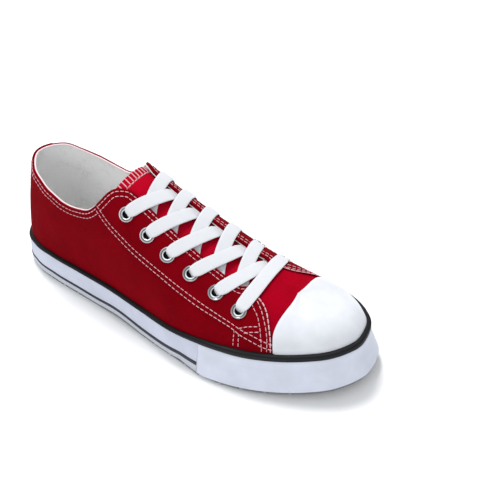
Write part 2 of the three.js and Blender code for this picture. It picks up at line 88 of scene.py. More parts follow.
# Eyelet pairs from the top: lateral t, v, medial t, v
EYELETS = [
    (0.633, 0.609, 0.638, 0.589), (0.572, 0.591, 0.579, 0.56), (0.517, 0.574, 0.523, 0.535),
    (0.459, 0.57, 0.467, 0.528), (0.398, 0.558, 0.407, 0.537), (0.335, 0.5, 0.343, 0.503),
]
VENTS = [(0.706, 0.075), (0.625, 0.075)]

# Rows of stitches along the lower edge of the eyestay: station, share of the low row, share of the high row
REAR_ROWS = [
    (0.236, 0.07, 0.165), (0.262, 0.105, 0.205), (0.291, 0.172, 0.258), (0.319, 0.222, 0.29),
    (0.335, 0.26, 0.315), (0.377, 0.305, 0.355), (0.425, 0.325, 0.378), (0.4725, 0.343, 0.392),
    (0.52, 0.353, 0.396), (0.56, 0.352, 0.393), (0.6, 0.355, 0.394), (0.635, 0.367, 0.405),
    (0.675, 0.393, 0.43), (0.7, 0.424, 0.463), (0.7195, 0.455, 0.493),
]
# Rows over the front seam, by share of the rib: share, stations of the edge, the second and the third row
FRONT_ROWS = [
    (0.0, 0.2425, 0.2545, 0.266), (0.13, 0.244, 0.255, 0.268), (0.26, 0.2465, 0.2575, 0.2715),
    (0.42, 0.254, 0.2655, 0.28), (0.548, 0.2635, 0.278, 0.2938), (0.627, 0.2725, 0.289, 0.311),
    (0.718, 0.294, 0.311, 0.33), (0.785, 0.33, 0.34, 0.35),
]
STAY_END = 0.7185  # the eyestay meets the collar at this station
HEM = 0.012  # from the low row of stitches to the edge of the cloth


# ---- the surface of the last ----
def spline(rows):
    """Smooth curve through rows, key first; takes an array of keys, gives an array of rows."""
    table = np.array(rows, float)
    keys, values = table[:, 0], table[:, 1:]
    gap = np.diff(keys)
    slope = np.diff(values, axis=0) / gap[:, None]
    m = np.zeros_like(values)
    m[1:-1] = (slope[:-1] * gap[1:, None] + slope[1:] * gap[:-1, None]) / (gap[:-1] + gap[1:])[:, None]
    m[0], m[-1] = slope[0], slope[-1]

    def at(key):
        q = np.clip(np.atleast_1d(np.asarray(key, float)), keys[0], keys[-1])
        i = np.clip(np.searchsorted(keys, q, side="right") - 1, 0, len(keys) - 2)
        h = gap[i][:, None]
        s = ((q - keys[i]) / gap[i])[:, None]
        return (
            (2 * s**3 - 3 * s**2 + 1) * values[i]
            + (s**3 - 2 * s**2 + s) * h * m[i]
            + (3 * s**2 - 2 * s**3) * values[i + 1]
            + (s**3 - s**2) * h * m[i + 1]
        )

    return at


def signed_rows():
    def row(r, side):
        t, x, lat, med, ledge, cx, cz, fan, lean, low, high, fall = r
        y = -lat if side < 0 else med
        return [side * t, x, y, ledge, cx, cz, side * fan, lean, low, high, fall]

    lateral = [row(r, -1) for r in LAST][::-1]
    medial = [row(r, 1) for r in LAST[1:]]
    before, after = list(lateral[1]), list(medial[-2])
    before[0], before[2], before[6] = -2 - before[0], -before[2], -360 - before[6]
    after[0], after[2], after[6] = 2 - after[0], -after[2], 360 - after[6]
    return [before, *lateral, *medial, after]


station = spline(signed_rows())
rear_v = lambda t: spline(REAR_ROWS)(t)[:, 0] - HEM
front_t = lambda v: spline(FRONT_ROWS)(v)[:, 0]
lerp = lambda a, b, s: a + (b - a) * s
unit = lambda a: a / np.maximum(np.linalg.norm(a, axis=-1, keepdims=True), 1e-12)


def edge_v(u):
    """Share of the rib at the top edge of the canvas, at signed stations."""
    rows = spline(EDGE)(np.abs(u))
    return np.where(np.asarray(u) < 0, rows[:, 0], rows[:, 1])


def bend_share(x):
    return np.maximum(0, (x - BEND_FROM) / (LENGTH - BEND_FROM))


def axis_y(x):
    return BEND * bend_share(x) ** 2


def axis_slope(x):
    return 2 * BEND * bend_share(x) / (LENGTH - BEND_FROM)


def ground_z(x):
    spring = np.maximum(0, (x - SPRING_FROM) / (LENGTH - SPRING_FROM))
    arch = np.clip((x - ARCH_FROM) / (ARCH_TO - ARCH_FROM), 0, 1)
    return TOE_SPRING * spring**2 + ARCH * np.sin(np.pi * arch) ** 2


def plan_normal(u):
    u = np.asarray(u, float)
    a, b = station(u.ravel() - 0.004), station(u.ravel() + 0.004)
    n = np.stack([b[:, 1] - a[:, 1], a[:, 0] - b[:, 0], 0 * a[:, 0]], -1)
    return unit(n).reshape(u.shape + (3,))


def plan(u, d):
    u = np.asarray(u, float)
    s = station(u.ravel()).reshape(u.shape + (-1,))
    p = np.stack([s[..., 0], s[..., 1], 0 * s[..., 0]], -1)
    return p + plan_normal(u) * np.broadcast_to(d, u.shape)[..., None]


def bare(u, v):
    u, v = np.broadcast_arrays(np.asarray(u, float), np.asarray(v, float))
    s = station(u.ravel())
    x, y, ledge, cx, cz, fan, lean, low, high, fall = s.T
    w = v.ravel()
    a = np.stack([x, y, ledge], -1)
    b = np.stack([cx, axis_y(cx), cz], -1)
    inward = unit((b - a) * [1, 1, 0])
    rad = np.pi / 180
    start = np.stack([0 * x, 0 * x, np.cos(lean * rad)], -1) + inward * np.sin(lean * rad)[:, None]
    ahead = unit(np.stack([1 + 0 * x, axis_slope(cx), 0 * x], -1))
    across = np.stack([-ahead[:, 1], ahead[:, 0], 0 * x], -1)
    down = unit(np.stack([ahead[:, 0], ahead[:, 1], -fall], -1))
    end = down * np.cos(fan * rad)[:, None] + across * np.sin(fan * rad)[:, None]
    p1, p2 = a + start * low[:, None], b + end * high[:, None]
    c = np.clip(w, 0, 1)[:, None]
    p = (1 - c) ** 3 * a + 3 * (1 - c) ** 2 * c * p1 + 3 * (1 - c) * c**2 * p2 + c**3 * b
    below = w < 0
    p[below, 2] = lerp(ledge, ground_z(x) + SOLE_TOP + GAP, -w)[below]
    return p.reshape(u.shape + (3,))


def outward(u, v):
    u, v = np.broadcast_arrays(np.asarray(u, float), np.asarray(v, float))
    e = 0.001
    w = np.clip(v, 0.002, 0.97)
    n = unit(np.cross(bare(u + e, w) - bare(u - e, w), bare(u, w + e) - bare(u, w - e)))
    s = station(u.ravel()).reshape(u.shape + (-1,))
    slope = axis_slope(s[..., 3])
    crest = unit(np.stack([s[..., 9], slope * s[..., 9], 1 + slope**2], -1))
    n = np.where((v >= 0.999)[..., None], crest, n)
    return np.where((v <= 0)[..., None], plan_normal(u), n)


def last(u, v, d=0.0):
    u, v = np.broadcast_arrays(np.asarray(u, float), np.asarray(v, float))
    return bare(u, v) + outward(u, v) * np.broadcast_to(d, u.shape)[..., None]


def over(t, q, d=0.0):
    """q runs across the top of the foot: 0 on the crest, negative on the lateral side."""
    t, q = np.broadcast_arrays(np.asarray(t, float), np.asarray(q, float))
    return last(np.where(q < 0, -t, t), 1 - np.abs(q), d)


def ledge_width(t):
    return lerp(3.0, 2.2, np.clip(t / 0.3, 0, 1))


def flare(t):
    return lerp(1.7, 6.7, np.clip((station(t)[:, 0] - FLARE_FROM) / 20, 0, 1))


# The frame's origin is under the middle of the box, so the tables are shifted by what the band measures.
ring_u = np.linspace(-1, 1, 801)
ring = plan(ring_u, ledge_width(np.abs(ring_u)) + 0.4)
band_lo, band_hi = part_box("foxing_stripe")
SHIFT = np.array([
    (band_lo.x + band_hi.x) * 500 - (ring[:, 0].min() + ring[:, 0].max()) / 2,
    (band_lo.y + band_hi.y) * 500 - (ring[:, 1].min() + ring[:, 1].max()) / 2,
    0.0,
])


# ---- meshes ----
UV_MM = 100  # millimetres in one unit of uv
JOIN_PER_MM = 500  # points closer than one part of a millimetre in this many are one


def piece(name, points, faces, uv, sharp=40):
    """A mesh object from points in millimetres; uv holds millimetres too, one pair per point."""
    mesh = bpy.data.meshes.new(name)
    mesh.from_pydata((points + SHIFT) / 1000, [], [list(f) for f in faces])
    layer = mesh.uv_layers.new(name="UVMap")
    index = np.zeros(len(mesh.loops), np.int32)
    mesh.loops.foreach_get("vertex_index", index)
    layer.data.foreach_set("uv", (uv[index] / UV_MM).astype(np.float32).ravel())
    mesh.shade_smooth()
    mesh.set_sharp_from_angle(angle=math.radians(sharp))
    mesh.update()
    obj = bpy.data.objects.new(name, mesh)
    bpy.context.collection.objects.link(obj)
    return obj


def sheet(name, outer, inner, uv, mask=None):
    """A sheet with thickness between two grids of points; mask says which cells it has."""
    m, n = outer.shape[:2]
    keep = np.ones((m - 1, n - 1), bool) if mask is None else mask
    base = m * n
    index = lambda i, j: i * n + j
    faces = []
    for i in range(m - 1):
        for j in range(n - 1):
            if not keep[i, j]:
                continue
            a, b, c, d = index(i, j), index(i + 1, j), index(i + 1, j + 1), index(i, j + 1)
            faces += [(a, b, c, d), (base + d, base + c, base + b, base + a)]
            if i == 0 or not keep[i - 1, j]:
                faces.append((d, base + d, base + a, a))
            if i == m - 2 or not keep[i + 1, j]:
                faces.append((b, base + b, base + c, c))
            if j == 0 or not keep[i, j - 1]:
                faces.append((a, base + a, base + b, b))
            if j == n - 2 or not keep[i, j + 1]:
                faces.append((c, base + c, base + d, d))
    points = np.concatenate([outer.reshape(-1, 3), inner.reshape(-1, 3)])
    uvs = np.concatenate([uv.reshape(-1, 2)] * 2)
    return piece(name, *tidy(points, faces, uvs))


def tidy(points, faces, uvs):
    """Joins points that coincide and drops faces that collapse and points that nothing uses."""
    key = np.round(points * JOIN_PER_MM).astype(np.int64)
    _, first, back = np.unique(key, axis=0, return_index=True, return_inverse=True)
    back = back.reshape(-1)
    kept = []
    for f in faces:
        ring = []
        for i in f:
            k = back[i]
            if not ring or ring[-1] != k:
                ring.append(k)
        if ring[0] == ring[-1]:
            ring.pop()
        if len(ring) > 2 and len(set(ring)) == len(ring):
            kept.append(ring)
    used = np.unique(np.concatenate([np.array(f) for f in kept]))
    order = np.full(len(first), -1)
    order[used] = np.arange(len(used))
    return points[first][used], [[int(order[i]) for i in f] for f in kept], uvs[first][used]


def outward_faces(obj):
    """Turns the faces of a closed mesh out, if its volume says they face in."""
    mesh = obj.data
    co = np.zeros(len(mesh.vertices) * 3)
    mesh.vertices.foreach_get("co", co)
    co = co.reshape(-1, 3)
    mesh.calc_loop_triangles()
    tri = np.zeros(len(mesh.loop_triangles) * 3, np.int32)
    mesh.loop_triangles.foreach_get("vertices", tri)
    a, b, c = (co[tri.reshape(-1, 3)[:, k]] for k in range(3))
    if np.einsum("ij,ij->i", a, np.cross(b, c)).sum() < 0:
        mesh.flip_normals()
    return obj


def loops(sections, closed):
    """Points, faces and uv of a tube through loops of points, with flat ends when it isn't closed."""
    m, n = sections.shape[:2]
    faces = []
    for i in range(m if closed else m - 1):
        k = (i + 1) % m
        for j in range(n):
            l = (j + 1) % n
            faces.append((i * n + j, i * n + l, k * n + l, k * n + j))
    if not closed:
        faces.append(tuple(range(n))[::-1])
        faces.append(tuple((m - 1) * n + j for j in range(n)))
    around = np.concatenate([[0], np.cumsum(np.linalg.norm(np.diff(sections[0], axis=0), axis=1))])
    uv = np.stack(np.broadcast_arrays(arc(sections[:, 0])[:, None], around[None, :]), -1)
    return sections.reshape(-1, 3), faces, uv.reshape(-1, 2)


def arc(points):
    return np.concatenate([[0], np.cumsum(np.linalg.norm(np.diff(points, axis=0), axis=1))])


def arc_grid(P):
    """uv of a grid in millimetres, along its first row of stations and up each column."""
    along = arc(P[:, 0])[:, None] + 0 * P[..., 0]
    steps = np.linalg.norm(np.diff(P, axis=1), axis=2)
    up = np.concatenate([0 * P[:, :1, 0], np.cumsum(steps, axis=1)], axis=1)
    return np.stack([along, up], -1)


def spread(curve, count):
    """count points at equal distances along a dense row of points; gives their places in the row too."""
    length = arc(curve)
    want = np.linspace(0, length[-1], count)
    return np.interp(want, length, np.arange(len(curve)))


# ---- materials ----
class Nodes:
    """Short words for building a material's node tree."""

    def __init__(self, name):
        self.mat = bpy.data.materials.new(name)
        self.mat.use_nodes = True
        self.tree = self.mat.node_tree
        self.bsdf = self.tree.nodes["Principled BSDF"]

    def add(self, kind, inputs=(), **settings):
        node = self.tree.nodes.new("ShaderNode" + kind)
        for key, value in settings.items():
            setattr(node, key, value)
        for key, value in dict(inputs).items():
            self.put(node.inputs[key], value)
        return node

    def put(self, socket, value):
        if isinstance(value, bpy.types.NodeSocket):
            self.tree.links.new(value, socket)
        else:
            socket.default_value = value

    def math(self, operation, a, b=0.0):
        return self.add("Math", {0: a, 1: b}, operation=operation).outputs[0]

    def uv(self, scale=(1, 1, 1)):
        """The mesh's own uv in millimetres, times scale."""
        source = self.add("UVMap", uv_map="UVMap").outputs[0]
        grow = tuple(UV_MM * s for s in scale)
        return self.add("Mapping", {"Vector": source, "Scale": grow}).outputs[0]

    def place(self, scale=1.0):
        source = self.add("TexCoord").outputs["Object"]
        grow = tuple(1000 * s for s in (scale if isinstance(scale, tuple) else (scale,) * 3))
        return self.add("Mapping", {"Vector": source, "Scale": grow}).outputs[0]

    def noise(self, vector, scale=1.0, detail=3.0, rough=0.5):
        made = self.add("TexNoise", {"Vector": vector, "Scale": scale, "Detail": detail, "Roughness": rough})
        return made.outputs["Fac"]

    def ramp(self, fac, stops):
        node = self.add("ValToRGB", {"Fac": fac})
        points = node.color_ramp.elements
        while len(points) < len(stops):
            points.new(0.5)
        for point, (at, colour) in zip(points, stops):
            point.position = at
            point.color = (*colour, 1)
        return node.outputs["Color"]

    def mix(self, fac, a, b, blend="MIX"):
        node = self.add("Mix", data_type="RGBA", blend_type=blend)
        self.put(node.inputs[0], fac)
        self.put(node.inputs[6], (*a, 1) if isinstance(a, tuple) else a)
        self.put(node.inputs[7], (*b, 1) if isinstance(b, tuple) else b)
        return node.outputs[2]

    def bump(self, height, strength, distance_mm):
        node = self.add("Bump", {"Height": height, "Strength": strength, "Distance": distance_mm / 1000})
        self.put(self.bsdf.inputs["Normal"], node.outputs[0])

    def surface(self, **values):
        for key, value in values.items():
            self.put(self.bsdf.inputs[key.replace("_", " ")], value)
        return self.mat


def shade(colour, k):
    return tuple(min(1.0, c * k) for c in colour)


def canvas(name, colour, thread=0.62, fuzz=0.03, depth=0.12, groove=0.28):
    """Plain woven cotton: threads over and under, uneven in thickness and in tone, with painted shade in the
    weave's grooves.
    """
    n = Nodes(name)
    axes = n.add("SeparateXYZ", {0: n.uv()}).outputs
    wave = lambda axis: n.math("SINE", n.math("MULTIPLY", axis, math.pi / thread))
    warp, weft = wave(axes[0]), wave(axes[1])
    weave = n.math("MULTIPLY", warp, weft)
    slub_x = n.noise(n.uv((0.12, 1.6, 1)), 1, 4, 0.6)
    slub_y = n.noise(n.uv((1.6, 0.12, 1)), 1, 4, 0.6)
    slubs = n.math("MULTIPLY", n.math("ADD", slub_x, slub_y), 0.5)
    patches = n.noise(n.place(0.045), 1, 3, 0.6)
    tone = n.math("ADD", n.math("MULTIPLY", slubs, 0.6), n.math("MULTIPLY", patches, 0.4))
    base = n.ramp(tone, [(0.32, shade(colour, 0.72)), (0.5, colour), (0.68, shade(colour, 1.28))])
    grooves = n.math("ADD", n.math("MULTIPLY", weave, 0.5), 0.5)
    # painted shade: darker in the grooves between the threads; groove sets how much
    dark = n.mix(n.math("MULTIPLY", n.math("SUBTRACT", 1.0, grooves), groove), base, shade(colour, 0.45))
    height = n.math("ADD", n.math("MULTIPLY", grooves, 0.55), n.math("MULTIPLY", slubs, 0.9))
    n.bump(height, 0.55, depth * 2)
    return n.surface(
        Base_Color=dark, Roughness=0.88, Sheen_Weight=fuzz, Sheen_Roughness=0.5,
        Sheen_Tint=(*shade(colour, 1.5), 1), Specular_IOR_Level=0.03,
    )


def rubber(name, colour, rough, grain=(0.05, 1.3), depth=0.05, low=None, shine=0.35):
    """Moulded rubber; grain is the scale of its lines along and across, low a darker colour below 0 in uv,
    painted shade.
    """
    n = Nodes(name)
    lines = n.noise(n.uv((grain[0], grain[1], 1)), 1, 4, 0.6)
    cloud = n.noise(n.place(0.06), 1, 3, 0.55)
    body = n.ramp(cloud, [(0.35, shade(colour, 0.93)), (0.65, shade(colour, 1.04))])
    # painted shade: below 0 in uv the colour turns to the darker low one
    if low:
        up = n.add("SeparateXYZ", {0: n.uv()}).outputs[1]
        body = n.mix(n.math("LESS_THAN", up, 0.0), body, low)
    body = n.mix(n.math("MULTIPLY", lines, 0.16), body, shade(colour, 0.74))
    gloss = n.ramp(lines, [(0.3, (rough * 0.85,) * 3), (0.7, (min(1, rough * 1.2),) * 3)])
    n.bump(n.math("ADD", lines, n.math("MULTIPLY", n.noise(n.place(1.5), 1, 2, 0.5), 0.5)), 0.5, depth)
    return n.surface(Base_Color=body, Roughness=gloss, Specular_IOR_Level=shine)


def cotton(name, colour, rib=0.9, depth=0.25):
    """Flat braid: slanted ribs that turn at the middle."""
    n = Nodes(name)
    axes = n.add("SeparateXYZ", {0: n.uv()}).outputs
    across = n.math("ABSOLUTE", axes[1])
    slant = n.math("ADD", axes[0], n.math("MULTIPLY", across, 0.9))
    ribs = n.math("SINE", n.math("MULTIPLY", slant, 2 * math.pi / rib))
    rows = n.math("SINE", n.math("MULTIPLY", axes[1], 2 * math.pi / (rib * 0.8)))
    knit = n.math("MULTIPLY", n.math("ADD", ribs, rows), 0.25)
    soft = n.noise(n.place(0.5), 1, 4, 0.6)
    # painted shade: the braid's colour is darker where its ribs dip
    base = n.mix(n.math("SUBTRACT", 0.22, n.math("MULTIPLY", knit, 0.3)), colour, shade(colour, 0.78))
    base = n.mix(n.math("MULTIPLY", soft, 0.14), base, shade(colour, 0.8))
    n.bump(n.math("ADD", knit, n.math("MULTIPLY", soft, 0.3)), 0.6, depth)
    return n.surface(
        Base_Color=base, Roughness=0.85, Sheen_Weight=0.25, Sheen_Roughness=0.4, Specular_IOR_Level=0.15
    )


def thread(name, colour):
    """Twisted sewing thread."""
    n = Nodes(name)
    axes = n.add("SeparateXYZ", {0: n.uv()}).outputs
    twist = n.math("SINE", n.math("MULTIPLY", n.math("ADD", axes[0], axes[1]), 2 * math.pi / 0.5))
    cloud = n.noise(n.place(0.25), 1, 2, 0.5)
    base = n.ramp(cloud, [(0.35, shade(colour, 0.82)), (0.6, colour)])
    n.bump(twist, 0.35, 0.1)
    return n.surface(Base_Color=base, Roughness=0.75, Specular_IOR_Level=0.2, Sheen_Weight=0.2)


SECTION_SPAN = 8.0  # millimetres of eyelet section that the tones below run over
# Painted highlights and painted shade: bright and dark rings across the eyelet's section stand in for
# reflections and shade on the polished metal.
EYELET_PAINTED_RINGS = [
    (0.0, 0.35), (0.1, 1.0), (0.16, 0.75), (0.21, 0.35), (0.27, 0.7), (0.34, 1.6), (0.42, 1.2), (0.5, 0.25),
]


def metal(name, colour):
    n = Nodes(name)
    scratches = n.noise(n.place((0.4, 3, 3)), 1, 3, 0.6)
    gloss = n.ramp(scratches, [(0.35, (0.16,) * 3), (0.7, (0.3,) * 3)])
    across = n.math("MULTIPLY", n.add("SeparateXYZ", {0: n.uv()}).outputs[1], 1 / SECTION_SPAN)
    # painted highlights and shade: the metal's colour goes bright and dark in rings across its section
    tone = n.ramp(across, [(at, shade(colour, k)) for at, k in EYELET_PAINTED_RINGS])
    n.bump(scratches, 0.15, 0.03)
    return n.surface(Base_Color=tone, Metallic=1.0, Roughness=gloss)


# Painted light, in part: the vamp's and tongue's reds are brighter copies of the quarters' red, as those
# faces tilt up towards the lamps.
RED, TONGUE_RED = (0.195, 0.0, 0.004), (0.43, 0.001, 0.015)
RED_CANVAS = canvas("canvas_red", RED)
VAMP_CANVAS = canvas("canvas_vamp", (0.36, 0.0, 0.011))
TONGUE_CANVAS = canvas("canvas_tongue", TONGUE_RED)
LINING = canvas("lining_cotton", (0.96, 0.97, 0.96), thread=0.8, fuzz=0.1, depth=0.06, groove=0.08)
BINDING = cotton("binding_cotton", (0.9, 0.74, 0.77), rib=0.7, depth=0.12)
LACE = cotton("lace_cotton", (0.74, 0.75, 0.78))
THREAD = thread("seam_thread", (0.78, 0.46, 0.5))
# Painted shade: the foxing's colour is darker below its dark line, near the floor.
FOXING = rubber("foxing_rubber", (0.56, 0.59, 0.7), 0.5, low=(0.52, 0.54, 0.6))
# Bumper and toe cap: lighter copies of the foxing's white rubber; the step up is painted light, for faces
# turned more to the lamps.
BUMPER = rubber("bumper_rubber", (0.64, 0.67, 0.77), 0.5)
CAP = rubber("cap_rubber", (0.73, 0.745, 0.79), 0.42, grain=(0.2, 0.2), depth=0.02)
BLACK = rubber("stripe_rubber", (0.007, 0.0075, 0.009), 0.55, grain=(0.05, 0.8), depth=0.03, shine=0.16)
PIN = rubber("pinstripe_rubber", (0.035, 0.037, 0.05), 0.55, shine=0.2)
SOLE = rubber("outsole_rubber", (0.17, 0.175, 0.19), 0.7, grain=(0.4, 0.4), depth=0.15)
METAL = metal("eyelet_metal", (0.5, 0.51, 0.52))
# Painted shadow: near-black material for the discs inside the eyelet barrels
HOLE_SHADOW = rubber("hole_painted_shadow", (0.012, 0.012, 0.012), 0.8, shine=0.05)


def finish(obj, material, slot, *nodes):
    """Gives a piece its material and its body, and hides the CAD nodes that it stands for; slot is not used.
    """
    obj.data.materials.clear()
    obj.data.materials.append(material)
    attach(obj, "root")
    if nodes:
        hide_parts(*nodes)
    return obj


# ---- camera, floor and light ----
AZIMUTH, ELEVATION, ROLL = (math.radians(a) for a in (36.48, 41.44, -2.54))
TARGET, DISTANCE, FOCAL_PX, SIDE_PX, SENSOR = (154.59, 48.96, 20.0), 636.13, 910.9, 500, 36.0


FLOOR_HALF = 4  # metres
LIGHTS_AIM = (0, 0, 0.03)  # metres


def add_camera():
    flat = math.cos(ELEVATION)
    back = Vector((math.sin(AZIMUTH) * flat, -math.cos(AZIMUTH) * flat, math.sin(ELEVATION)))
    level = Vector((math.cos(AZIMUTH), math.sin(AZIMUTH), 0))
    upright = back.cross(level)
    right = level * math.cos(ROLL) + upright * math.sin(ROLL)
    up = upright * math.cos(ROLL) - level * math.sin(ROLL)
    at = (Vector(TARGET) + Vector(SHIFT) + back * DISTANCE) / 1000
    data = bpy.data.cameras.new("camera")
    data.sensor_width = SENSOR
    data.lens = FOCAL_PX / SIDE_PX * SENSOR
    data.clip_start, data.clip_end = 0.01, 20
    camera = bpy.data.objects.new("camera", data)
    camera.matrix_world = Matrix((right, up, back)).transposed().to_4x4()
    camera.location = at
    bpy.context.collection.objects.link(camera)
    bpy.context.scene.camera = camera


def add_floor():
    n = Nodes("floor_paint")
    cloud = n.noise(n.place(0.004), 1, 2, 0.5)
    n.surface(Base_Color=n.ramp(cloud, [(0.3, (0.97, 0.97, 0.97)), (0.7, (0.98, 0.98, 0.98))]), Roughness=0.8)
    mesh = bpy.data.meshes.new("floor")
    corners = [(x * FLOOR_HALF, y * FLOOR_HALF, 0) for x, y in ((-1, -1), (1, -1), (1, 1), (-1, 1))]
    mesh.from_pydata(corners, [], [(0, 1, 2, 3)])
    mesh.materials.append(n.mat)
    floor = bpy.data.objects.new("floor", mesh)
    bpy.context.collection.objects.link(floor)


def add_light(name, where, size, watts):
    data = bpy.data.lights.new(name, "AREA")
    data.shape, data.size, data.energy = "DISK", size, watts
    light = bpy.data.objects.new(name, data)
    light.location = where
    light.rotation_mode = "QUATERNION"
    light.rotation_quaternion = (Vector(LIGHTS_AIM) - Vector(where)).to_track_quat("-Z", "Y")
    bpy.context.collection.objects.link(light)


def add_world(strength):
    world = bpy.data.worlds.new("studio")
    bpy.context.scene.world = world
    world.use_nodes = True
    sky = world.node_tree.nodes["Background"]
    sky.inputs["Color"].default_value = (0.95, 0.975, 1.0, 1)
    sky.inputs["Strength"].default_value = strength


bpy.context.scene.view_settings.view_transform = "Standard"
add_camera()
add_floor()
add_world(0.7)
add_light("key", (-0.55, 0.4, 1.5), 0.5, 20)
add_light("fill", (0.1, -1.4, 0.9), 1.2, 5)


# ---- canvas ----
STAY, VAMP_DROP, CLOTH = 0.55, 0.6, 1.25  # eyestay thickness, step down to the vamp, canvas thickness
LACE_HOLES = [(-lt, lv) for lt, lv, _, _ in EYELETS] + [(mt, mv) for _, _, mt, mv in EYELETS]
HOLES = LACE_HOLES + VENTS
HOLE_CUT, HOLE_REACH = 3.4, 9.0  # radius of a hole in the cloth, and how deep it is looked for
ROUNDED = 0.3  # how far a cut edge drops
COVERED = -0.3  # the cloth goes on this share of the way down behind the sole unit
# Soft creases: station, share at each end, half width, height
CREASES = [
    (-0.43, 0.05, -0.385, 0.26, 3.2, -0.5), (-0.41, 0.04, -0.365, 0.2, 3.0, 0.3),
    (0.43, 0.05, 0.39, 0.28, 3.2, -0.5), (0.455, 0.06, 0.42, 0.25, 3.0, 0.35),
    (-0.24, 0.88, 0.24, 0.8, 2.6, -0.35), (-0.262, 0.86, 0.27, 0.78, 2.4, 0.25),
    (-0.76, 0.05, -0.74, 0.24, 4.5, -0.45), (0.76, 0.05, 0.735, 0.24, 4.5, -0.45),
    (-0.9, 0.03, -0.86, 0.2, 5.0, -0.4), (0.9, 0.03, 0.87, 0.2, 5.0, -0.4),
    (-0.62, 0.05, -0.585, 0.24, 5.0, 0.35), (0.6, 0.05, 0.58, 0.22, 5.0, 0.35),
]


def relief(u, v):
    """Height of the creases and of the slight unevenness of the cloth; nothing at the ledge."""
    u, v = np.broadcast_arrays(np.asarray(u, float), np.asarray(v, float))
    p = bare(u, v)
    x, y, z = np.moveaxis(p, -1, 0)
    out = 0.12 * np.sin(x / 7.3 + 1.7 * np.sin(z / 9.1)) * np.sin(z / 6.4 + y / 8.7)
    for u0, v0, u1, v1, width, height in CREASES:
        a, b = bare(np.array([u0, u1]), np.array([v0, v1]))
        along = b - a
        share = np.clip((p - a) @ along / (along @ along), 0, 1)
        away = np.linalg.norm(p - a - share[..., None] * along, axis=-1)
        out = out + height * np.exp(-((away / width) ** 2)) * (0.4 + 0.6 * np.sin(np.pi * share))
    return out * np.clip(v / 0.06, 0, 1)


def hole_axes(holes, d=0.0):
    u, v = np.array(holes).T
    return last(u, v, d), outward(u, v)


def cells_clear(P, holes):
    """Which cells of a grid stay when a hole is cut round each eyelet's axis."""
    centre = (P[:-1, :-1] + P[1:, :-1] + P[:-1, 1:] + P[1:, 1:]) / 4
    keep = np.ones(centre.shape[:2], bool)
    at, axis = hole_axes(holes)
    for o, n in zip(at, axis):
        rel = centre - o
        deep = rel @ n
        away = np.linalg.norm(rel - deep[..., None] * n, axis=-1)
        keep &= ~((away < HOLE_CUT) & (np.abs(deep) < HOLE_REACH))
    return keep


def rolled(v_rows, d):
    """Depth for each row of a column, a little lower on the last one so that the cut edge is round."""
    out = np.full(v_rows.shape, float(d))
    out[:, -1] -= ROUNDED
    return out


def share_rows(count):
    return np.concatenate([[COVERED], np.linspace(0, 0.985, count), [0.996, 1.0]])


def add_quarter(side, name):
    rows = share_rows(66)
    along = np.linspace(0, 1, 236)[:, None]
    start = front_t(np.clip(rows, 0, 1) * THROAT_V)[None, :]
    t = lerp(start, 1.0, along)
    top = edge_v((side * np.maximum(t, THROAT_T)).ravel()).reshape(t.shape)
    v = np.where(rows[None, :] < 0, rows[None, :] + 0 * t, rows[None, :] * top)
    d = relief(side * t, v) + rolled(v, 0)
    d[0] -= 0.2
    outer, inner = last(side * t, v, d), last(side * t, v, -CLOTH)
    keep = cells_clear(last(side * t, v, 0), HOLES)
    obj = sheet(name, outer, inner, arc_grid(outer), keep)
    return finish(outward_faces(obj), RED_CANVAS, "canvas")


def add_vamp():
    """The front of the upper, one level below the quarters, from the toe to under the seams."""
    half = np.linspace(0.0, 0.35, 150)
    u = np.concatenate([-half[::-1], half[1:]])[:, None]
    rows = share_rows(70)[None, :]
    top = np.where(np.abs(u) <= THROAT_TIP, 1.0, edge_v(u.ravel())[:, None])
    v = np.where(rows < 0, rows + 0 * u, rows * top)
    t = u + 0 * v
    sunk = -VAMP_DROP * np.clip((np.abs(t) - 0.2) / 0.02, 0, 1)
    outer = last(t, v, sunk + relief(t, v))
    inner = last(t, v, sunk - CLOTH + 0.2)
    obj = sheet("vamp", outer, inner, outer[..., :2].copy(), cells_clear(last(t, v, 0), LACE_HOLES))
    return finish(outward_faces(obj), VAMP_CANVAS, "canvas")


def add_eyestay(side, name):
    """The layer that carries the eyelets, from the front seam to the lobe at the collar."""
    t_dense = np.linspace(0.2432, STAY_END, 2400)
    v_front = np.interp(t_dense, [r[1] for r in FRONT_ROWS], [r[0] for r in FRONT_ROWS])
    v_top = np.where(t_dense < THROAT_T, np.minimum(v_front, THROAT_V), edge_v(side * t_dense))
    v_low = np.minimum(rear_v(t_dense), v_top - 0.004)
    curve = np.concatenate([last(-t_dense, v_top), last(-t_dense, v_low)], axis=1)
    pick = spread(curve, 300)
    t = np.interp(pick, np.arange(len(t_dense)), t_dense)[:, None]
    low = np.interp(pick, np.arange(len(t_dense)), v_low)[:, None]
    top = np.interp(pick, np.arange(len(t_dense)), v_top)[:, None]
    rows = np.concatenate([[0, 0.006], np.linspace(0.02, 0.98, 44), [0.994, 1.0]])[None, :]
    v = low + (top - low) * rows
    t = t + 0 * v
    d = STAY + relief(side * t, v)
    d[:, 0] -= 0.3
    d[:, -1] -= 0.35
    d[0] -= 0.3
    outer = last(side * t, v, d)
    inner = last(side * t, v, np.minimum(0.05 + relief(side * t, v), d - 0.1))
    keep = cells_clear(last(side * t, v, 0), HOLES)
    obj = sheet(name, outer, inner, arc_grid(outer), keep)
    return finish(outward_faces(obj), RED_CANVAS, "canvas")


